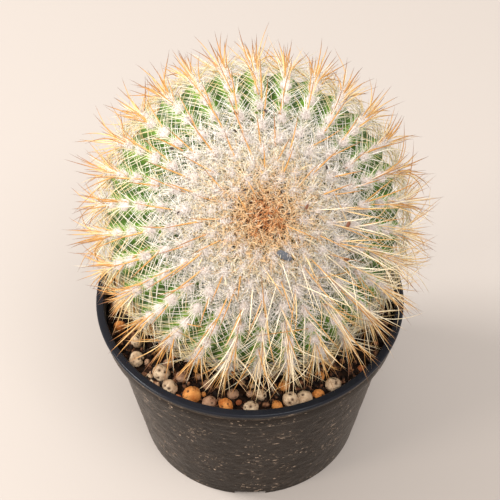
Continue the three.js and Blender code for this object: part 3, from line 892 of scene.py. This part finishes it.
def grow(deg, heading, lift, length, slant, aim, bend, steps, curl, rng):
    """Lines of strands that grow from places on the globe, `lift` above the crests. `aim` is
    their heading in the skin's plane, 0 being away from the apex, and `slant` their angle above
    it. `bend` is how far the tip droops, and `curl` how far it wanders, as shares of the length.
    Strands with no room are shortened or left out. Gives the lines, a direction beside each, and
    which strands were kept."""
    normal, down, across = local_frame(deg, heading)
    flat = down * np.cos(np.radians(aim))[:, None] + across * np.sin(np.radians(aim))[:, None]
    tilt = np.radians(slant)[:, None]
    direction = flat * np.cos(tilt) + normal * np.sin(tilt)
    droop = flat * np.sin(tilt) - normal * np.cos(tilt)
    side = np.cross(direction, normal)
    root = GLOBE_CENTRE + normal * (GLOBE_RADIUS + lift)[:, None]
    along = np.linspace(0, 1, steps)[None, :, None]
    wave = rng.uniform(-1, 1, (len(root), 2, 1, 1)) * curl
    phase = rng.uniform(2, 4.5, (len(root), 1, 1))
    wander = side[:, None] * (wave[:, 0] * along**2) + droop[:, None] * wave[:, 1] * np.sin(phase * along)
    shape = direction[:, None] * along + droop[:, None] * (bend[:, None, None] * along**2) + wander
    lines = root[:, None] + shape * length[:, None, None]
    kept = is_clear(lines)
    for share in (0.85, 0.7, 0.55):
        shorter = root[:, None] + shape * (length * share)[:, None, None]
        swap = ~kept & is_clear(shorter)
        lines[swap] = shorter[swap]
        kept |= swap
    return lines[kept], (side + 0.3 * normal)[kept], kept


def draws(rng, count, *ranges):
    """An array of even draws for each range."""
    return [rng.uniform(low, high, count) for low, high in ranges]


def along_crest(deg, offset):
    """The angle from the apex of a place that is `offset` millimetres further down the crest."""
    return deg + np.degrees(offset / GLOBE_RADIUS)


def across_crest(deg, heading, offset):
    """The heading of a place that is `offset` millimetres to the side."""
    return heading + np.degrees(offset / (GLOBE_RADIUS * np.sin(np.radians(deg))))


def pick_bands(rng, shares):
    """A band for each strand. shares gives each strand's chances of the palettes, row by row."""
    palettes = shares.shape[1]
    chosen = (rng.random((len(shares), 1)) > np.cumsum(shares, 1)).sum(1).clip(0, palettes - 1)
    width = STRAND_BANDS // palettes
    return chosen * width + rng.integers(0, width, len(shares))


def strand_material(name, palettes, roughness, spread):
    """Colours along strands. A strand's band (u) picks its palette and its shade, and v runs from
    its root to its tip. spread is how far the shades lie apart."""
    n = Nodes(name)
    across, along = n.uv()
    colour = n.ramp(along, palettes[0])
    for i, palette in enumerate(palettes[1:], 1):
        chosen = n.maths("GREATER_THAN", across, i / len(palettes))
        colour = n.mix(chosen, colour, n.ramp(along, palette))
    band = n.maths("FLOOR", n.times(across, STRAND_BANDS))
    draw = n.add("ShaderNodeTexWhiteNoise", "Value", {"W": band}, noise_dimensions="1D")
    shade = n.maths("ADD", n.times(draw, 1.5 * spread), 1 - spread)
    colour = n.mix(1.0, colour, shade, "MULTIPLY")
    return n.finish(Base_Color=colour, Roughness=roughness)


# ---- wool ----

WOOL_SHAPES = 24
WOOL_HAIRS = 165
WOOL = [(0.0, (0.86, 0.78, 0.74)), (1.0, (0.93, 0.90, 0.87))]
WOOL_CORE = [(0.3, (0.70, 0.58, 0.54)), (0.5, (0.79, 0.71, 0.68)), (0.7, (0.86, 0.81, 0.78))]


def make_wool():
    """A tuft of matted white wool on each areole: a soft core and curly hairs out of it. Tufts
    grow away from the apex, are full where they are ripe, and wear down on the old skin."""
    rng = np.random.default_rng(41)
    deg, heading = areole_places().T
    count = len(deg)
    normal, down, across = local_frame(deg, heading)
    grown = smoothstep(deg, 13, 34)
    ripe = smoothstep(deg, 37, 52)
    old = smoothstep(deg, 84, 112)
    size = (lerp(0.4, 1.05, grown) + 0.38 * ripe) * lerp(1.0, 0.6, old) * rng.uniform(0.85, 1.15, count)
    ball, faces = icosphere(2)
    puffs = np.array([rough(ball, 0.7, 3, 3.1 * i) for i in range(WOOL_SHAPES)])
    puffs = puffs[rng.integers(0, WOOL_SHAPES, count)]
    local = ball[None] * (1 + 0.35 * puffs[..., None])
    axes = np.stack([down * 1.2, across * 1.1, normal * 0.85], 1)
    clouds = np.einsum("nki,nij->nkj", local, axes) * size[:, None, None]
    clouds += (GLOBE_CENTRE + normal * (GLOBE_RADIUS + lerp(0.9, 0.55, grown))[:, None])[:, None]
    points, faces = copies(ball, faces, clouds)
    material = mottled_material(
        "wool_cores", (0.9, 4, 0.7), WOOL_CORE, (0.35, 4, 0.75), 0.25, Roughness=1.0, Sheen_Weight=0.5
    )
    add_piece(make_mesh("wool_cores", points, [faces]), material, "cactus")

    deg, heading, grown, ripe, old = (np.repeat(v, WOOL_HAIRS) for v in (deg, heading, grown, ripe, old))
    total = len(deg)
    deg = along_crest(deg, rng.normal(0, 1, total) * lerp(1.2, 0.7, ripe))
    heading = across_crest(deg, heading, rng.normal(0, 0.7, total))
    ranges = (0, 360), (5, 85), (1.2, 3.0), (0.3, 1.5), (0, 0.5)
    aim, slant, length, lift, bend = draws(rng, total, *ranges)
    length *= lerp(0.55, 1.0, grown) * lerp(1.0, 0.88, ripe) * lerp(1.0, 0.6, old)
    lift *= lerp(1.0, 0.7, old)
    lines, beside, _ = grow(deg, heading, lift, length, slant, aim, bend, 4, 0.5, rng)
    bands = pick_bands(rng, np.ones((len(lines), 1)))
    thickness = rng.uniform(0.08, 0.13, len(lines))
    material = strand_material("areole_wool", [WOOL], 0.9, 0.10)
    add_strands("wool_hairs", (lines, thickness, beside, bands), material)


# ---- bristles and the mat of the crown ----

# On each areole: net bristles to either side, and stray ones between them.
NET_BRISTLES = 4
STRAY_BRISTLES = 4

# The mat: hairs of its web before they are thinned, stars of hair, and how far each reaches.
WEB_HAIRS, WEB_REACH_DEG = 62000, 56.0
STARS, STAR_HAIRS, STAR_REACH_DEG = 330, 30, 31
GOLDEN_SHARE = 3 - math.sqrt(5)

# Palettes of the bristles: white, cream, straw, tan, and the rusty brown of the youngest.
WHITE = three((0.90, 0.87, 0.81), (0.95, 0.93, 0.90), (0.95, 0.92, 0.88))
CREAM = three((0.84, 0.80, 0.62), (0.90, 0.84, 0.66), (0.88, 0.77, 0.54))
STRAW = three((0.84, 0.72, 0.44), (0.85, 0.69, 0.37), (0.70, 0.45, 0.19))
TAN = three((0.84, 0.58, 0.33), (0.94, 0.68, 0.39), (0.88, 0.53, 0.24))
RUST = three((0.36, 0.11, 0.035), (0.84, 0.35, 0.11), (0.74, 0.32, 0.10))
STRAY_SHARES = [0.0, 0.35, 0.50, 0.15, 0.0]


def bristle_shares(deg, rng):
    """Chances of white, cream, straw, tan and rust at an angle from the apex."""
    deg = deg + rng.normal(0, 1.8, len(deg))
    rust = np.exp(-((deg / 4.8) ** 2)) * 0.85
    tan = np.exp(-((np.abs(deg) / 18.0) ** 3)) * (1 - rust) * 0.88
    rest = 1 - rust - tan
    straw = (0.04 + 0.41 * smoothstep(deg, 40, 66)) * rest
    either_side = np.maximum(smoothstep(deg, 36, 58), 1 - smoothstep(deg, 16, 30))
    cream = (0.25 + 0.65 * either_side) * (rest - straw)
    return np.stack([rest - straw - cream, cream, straw, tan, rust], 1)


def make_bristles(material):
    """Fine pale bristles that radiate from each areole and net the skin between the ribs."""
    rng = np.random.default_rng(43)
    deg, heading = areole_places().T
    areoles = len(deg)
    each = 2 * NET_BRISTLES + STRAY_BRISTLES
    total = areoles * each
    deg, heading = np.repeat(deg, each), np.repeat(heading, each)
    is_stray = np.tile(np.arange(each) >= 2 * NET_BRISTLES, areoles)
    old = smoothstep(deg, 60, 86)
    side = np.concatenate([np.ones(NET_BRISTLES), -np.ones(NET_BRISTLES), np.zeros(STRAY_BRISTLES)])
    aim = np.tile(side, areoles) * lerp(42, 27, old)
    aim = aim + rng.normal(0, 1, total) * np.where(is_stray, 36, lerp(6, 11, old))
    row = np.linspace(-3.0, 3.0, NET_BRISTLES)
    offset = np.tile(np.concatenate([row, row + 0.6, np.zeros(STRAY_BRISTLES)]), areoles)
    deg = along_crest(deg, offset + rng.normal(0, 0.3, total))
    slant = np.where(is_stray, rng.uniform(12, 46, total), rng.uniform(3, 9, total) * lerp(1.0, 1.9, old))
    stray_length = rng.uniform(0.65, 1, total) * lerp(11.0, 16.0, smoothstep(deg, 52, 78))
    net_length = rng.uniform(9.5, 12.5, total) * lerp(1, 1.25, old)
    length = np.where(is_stray, stray_length, net_length) * lerp(0.5, 1, smoothstep(deg, 18, 58))
    bend = rng.uniform(0.0, 0.10, total)
    lines, beside, kept = grow(deg, heading, np.full(total, 0.3), length, slant, aim, bend, 6, 0.03, rng)
    deg, is_stray = deg[kept], is_stray[kept]
    shares = bristle_shares(deg, rng)
    shares[is_stray & (deg > 50)] = STRAY_SHARES
    bands = pick_bands(rng, shares)
    thickness = np.where(is_stray, 0.23, 0.20) * rng.uniform(0.85, 1.15, len(lines))
    add_strands("bristles", (lines, thickness, beside, bands), material)


def make_mat(material):
    """The matted hair that hides the skin round the apex, thinning out towards the ribs: a loose
    web over the skin, and small stars of hair on the youngest areoles."""
    rng = np.random.default_rng(47)
    deg = cap_deg(rng.random(WEB_HAIRS), WEB_REACH_DEG)
    cover = lerp(0.36, 0.46, smoothstep(deg, 3, 12)) * (1 - 0.35 * smoothstep(deg, 22, 36))
    deg = deg[rng.random(WEB_HAIRS) < cover * (1 - 0.98 * smoothstep(deg, 33, 50))]
    ranges = (0, 360), (0, 360), (0, 40), (1.8, 3.6), (-0.9, 0.5), (0, 0.5)
    heading, aim, slant, length, lift, bend = draws(rng, len(deg), *ranges)
    web = (deg, heading, lift, length, slant, aim, bend)

    number = np.arange(STARS)
    total = STARS * STAR_HAIRS
    deg = np.repeat(cap_deg((number + 0.5) / STARS, STAR_REACH_DEG), STAR_HAIRS)
    deg = deg + rng.normal(0, 0.5, total)
    heading = np.repeat(number * 180 * GOLDEN_SHARE, STAR_HAIRS)
    heading = heading + rng.normal(0, 0.5, total) / np.sin(np.radians(np.maximum(deg, 2)))
    ranges = (-0.2, 0.8), (1.3, 2.7), (5, 75), (0, 360), (0, 0.4)
    stars = (np.abs(deg), heading, *draws(rng, total, *ranges))

    hairs = [np.concatenate(pair) for pair in zip(web, stars)]
    lines, beside, kept = grow(*hairs, 5, 0.45, rng)
    bands = pick_bands(rng, bristle_shares(hairs[0][kept], rng))
    thickness = rng.uniform(0.11, 0.17, len(lines))
    add_strands("crown_mat", (lines, thickness, beside, bands), material)


# ---- long spines ----

# Heading of the middle of the side where the long spines are more, longer and finer, and paler: partly
# their own colour and partly painted light.
FRONT_HEADING_DEG = 42

# Palettes of the long spines, from the root to the dark tip.
IVORY = [
    (0.0, (0.92, 0.82, 0.64)),
    (0.5, (0.94, 0.83, 0.60)),
    (0.85, (0.86, 0.66, 0.38)),
    (1.0, (0.52, 0.28, 0.12)),
]
PALE_GOLD = [
    (0.0, (0.88, 0.68, 0.42)),
    (0.35, (0.82, 0.57, 0.25)),
    (0.7, (0.62, 0.33, 0.10)),
    (0.88, (0.24, 0.10, 0.035)),
    (1.0, (0.12, 0.05, 0.02)),
]
AMBER = [
    (0.0, (0.72, 0.41, 0.25)),
    (0.1, (0.66, 0.36, 0.10)),
    (0.6, (0.52, 0.24, 0.05)),
    (0.85, (0.20, 0.08, 0.028)),
    (1.0, (0.09, 0.035, 0.015)),
]
BROWN = [
    (0.0, (0.70, 0.40, 0.20)),
    (0.35, (0.55, 0.27, 0.08)),
    (0.7, (0.30, 0.12, 0.04)),
    (1.0, (0.12, 0.05, 0.03)),
]


def frontness(heading):
    return smoothstep(np.cos(np.radians(heading - FRONT_HEADING_DEG)), 0.25, 0.9)


def make_long_spines():
    """The golden spines: fans round the widest part, and flatter ones towards the crown, of which
    some lie inwards over it."""
    rng = np.random.default_rng(53)
    deg, heading = areole_places().T
    number = lerp(0.6, 0.95, smoothstep(deg, 14, 27)) + 4.4 * smoothstep(deg, 46, 74)
    number += 3.4 * frontness(heading) * smoothstep(deg, 15, 28) * (1 - smoothstep(deg, 58, 80))
    each = np.floor(number + rng.random(len(deg))).astype(int)
    deg, heading = np.repeat(deg, each), np.repeat(heading, each)
    total = len(deg)
    fan = smoothstep(deg, 48, 84)
    front = frontness(heading)
    inward = rng.random(total) < lerp(0.04, 0.0, fan)
    swing = lerp(12, 23, fan) + 7 * front * (1 - fan)
    aim = np.where(inward, 180 + rng.normal(0, 20, total), rng.normal(0, 1, total) * swing)
    slant = lerp(rng.uniform(10, 30, total), rng.uniform(12, 54, total), fan)
    slant = lerp(slant, rng.uniform(20, 50, total), 0.8 * front)
    slant = np.where(inward, rng.uniform(8, 20, total), slant)
    length = lerp(16.5, 18.5, fan) * rng.uniform(0.6, 1.1, total) * (1 + 0.38 * front)
    length *= lerp(0.6, 1.0, smoothstep(deg, 14, 30))
    bend = lerp(rng.uniform(-0.04, 0.08, total), rng.uniform(-0.06, 0.16, total), fan) + 0.14 * front
    deg = along_crest(deg, rng.normal(0, 1.4, total))
    heading = across_crest(deg, heading, rng.uniform(-0.8, 0.8, total))
    lines, beside, kept = grow(deg, heading, lerp(1.0, 0.3, fan), length, slant, aim, bend, 8, 0.10, rng)
    fan, front = fan[kept], front[kept]
    # More ivory spines on the front side: partly their own colour, partly painted light.
    ivory_and_lit = 0.46 * front
    pale = lerp(0.56 * fan, 0.30, front)
    brown = lerp(0.12, 0.34, fan) * (1 - pale - ivory_and_lit)
    bands = pick_bands(rng, np.stack([ivory_and_lit, pale, 1 - ivory_and_lit - pale - brown, brown], 1))
    thickness = rng.uniform(0.36, 0.52, len(lines)) * lerp(1.0, 1.02, fan) * (1 - 0.34 * front)
    material = strand_material("golden_spines", [IVORY, PALE_GOLD, AMBER, BROWN], 0.35, 0.16)
    add_strands("golden_spines", (lines, thickness, beside, bands), material, 4, 2.0)


# ---- specks on the plant ----

# Name, height over the crests, colour, and places: deg, heading, size, thinness and turn.
SPECKS = [
    ("fleck_of_grit", 1.7, (0.085, 0.095, 0.115), [(14.4, 23.8, 2.3, 0.22, 35)]),
    (
        "husks",
        2.7,
        (0.16, 0.06, 0.03),
        [(28.9, 81.6, 1.1, 0.5, 70), (32.2, 59.5, 1.0, 0.5, 20), (14.0, 100.0, 0.8, 0.6, 50)],
    ),
    (
        "dark_grains",
        2.7,
        (0.03, 0.015, 0.012),
        [
            (7.5, 93.6, 0.55, 0.8, 0), (37.1, 174.8, 0.7, 0.8, 30),
            (26.9, 124.7, 0.65, 0.7, 60), (37.6, -168.9, 0.75, 0.8, 10),
            (30.7, -165.5, 0.6, 0.8, 40), (10.7, -146.4, 0.55, 0.8, 80),
            (40.2, -130.8, 0.75, 0.8, 15), (28.7, -96.3, 0.6, 0.8, 55),
        ],
    ),
]


def make_specks():
    """A grey-blue fleck of grit and brown husks and dark grains that have fallen on the crown."""
    ball, faces = icosphere(3)
    for name, lift, colour, places in SPECKS:
        clouds = []
        for i, (deg, heading, size, thin, turn) in enumerate(places):
            normal, down, across = local_frame(deg, heading)
            c, s = math.cos(math.radians(turn)), math.sin(math.radians(turn))
            axes = np.stack([down * c + across * s, (across * c - down * s) * 0.48, normal * thin * 0.6])
            shape = ball * (1 + 0.22 * rough(ball, 0.9, 2, i + 4.0))[:, None]
            clouds.append(shape @ axes * size + GLOBE_CENTRE + normal * (GLOBE_RADIUS + lift))
        points, joined = copies(ball, faces, np.array(clouds))
        shades = [(0, [0.6 * c for c in colour]), (1, [min(1, 1.5 * c) for c in colour])]
        material = mottled_material(name, (0.8, 3), shades, (0.4, 3), 0.1, Roughness=0.7)
        add_piece(make_mesh(name, points, [joined]), material, "cactus")


# ---- floor, light and camera, in metres ----

FLOOR_HALF_MM = 6000
FLOOR_COLOUR = (0.43, 0.402, 0.383, 1)
ROOM_COLOUR, ROOM_STRENGTH = (1.0, 0.925, 0.865, 1), 0.93
MIDDLE = (0, 0, 0.08)
CAMERA_DISTANCE = 0.377
CAMERA_ELEVATION_DEG = 45.9
CAMERA_AIM = (0, 0, 0.0804)
CAMERA_LENS, CAMERA_SENSOR = 86.4, 36


def make_floor():
    side = FLOOR_HALF_MM
    corners = [[-side, -side, 0], [side, -side, 0], [side, side, 0], [-side, side, 0]]
    floor = add_object("floor", make_mesh("floor", corners, [np.array([[0, 1, 2, 3]])]))
    floor.data.materials.append(Nodes("floor").finish(Base_Color=FLOOR_COLOUR, Roughness=0.8))


def aim_at(thing, target):
    away = Vector(target) - Vector(thing.location)
    thing.rotation_euler = away.to_track_quat("-Z", "Y").to_euler()


def add_light(name, place, target, size, energy, colour):
    light = bpy.data.lights.new(name, "AREA")
    light.size = size
    light.energy = energy
    light.color = colour
    lamp = add_object(name, light)
    lamp.location = place
    lamp.visible_camera = False
    aim_at(lamp, target)


def light_scene():
    add_light("window", (-0.9, 0.1, 1.12), MIDDLE, 0.36, 18, (1.0, 0.945, 0.88))
    add_light("fill", (0.35, -0.7, 1.4), MIDDLE, 0.8, 14, (1.0, 0.945, 0.885))
    add_light("bounce", (-1.0, -0.5, 0.42), (0, 0, 0.04), 0.3, 6.0, (1.0, 0.88, 0.76))
    world = bpy.data.worlds.new("room")
    bpy.context.scene.world = world
    world.use_nodes = True
    background = world.node_tree.nodes["Background"]
    background.inputs["Color"].default_value = ROOM_COLOUR
    background.inputs["Strength"].default_value = ROOM_STRENGTH


def add_camera():
    """Looks down at the plant at the photograph's angle."""
    elevation = math.radians(CAMERA_ELEVATION_DEG)
    away = Vector((0, -math.cos(elevation), math.sin(elevation)))
    camera = bpy.data.cameras.new("camera")
    camera.lens = CAMERA_LENS
    camera.sensor_width = CAMERA_SENSOR
    camera.clip_start = 0.01
    view = add_object("camera", camera)
    view.location = Vector(CAMERA_AIM) + away * CAMERA_DISTANCE
    aim_at(view, CAMERA_AIM)
    bpy.context.scene.camera = view


# ---- the object ----

add_camera()
make_pot()
make_soil_bed()
make_crumbs()
make_pellets()
make_skin()
make_wool()
bristle_material = strand_material("pale_bristles", [WHITE, CREAM, STRAW, TAN, RUST], 0.55, 0.16)
make_bristles(bristle_material)
make_mat(bristle_material)
make_long_spines()
make_specks()
make_floor()
light_scene()
bpy.context.scene.view_settings.view_transform = "Standard"
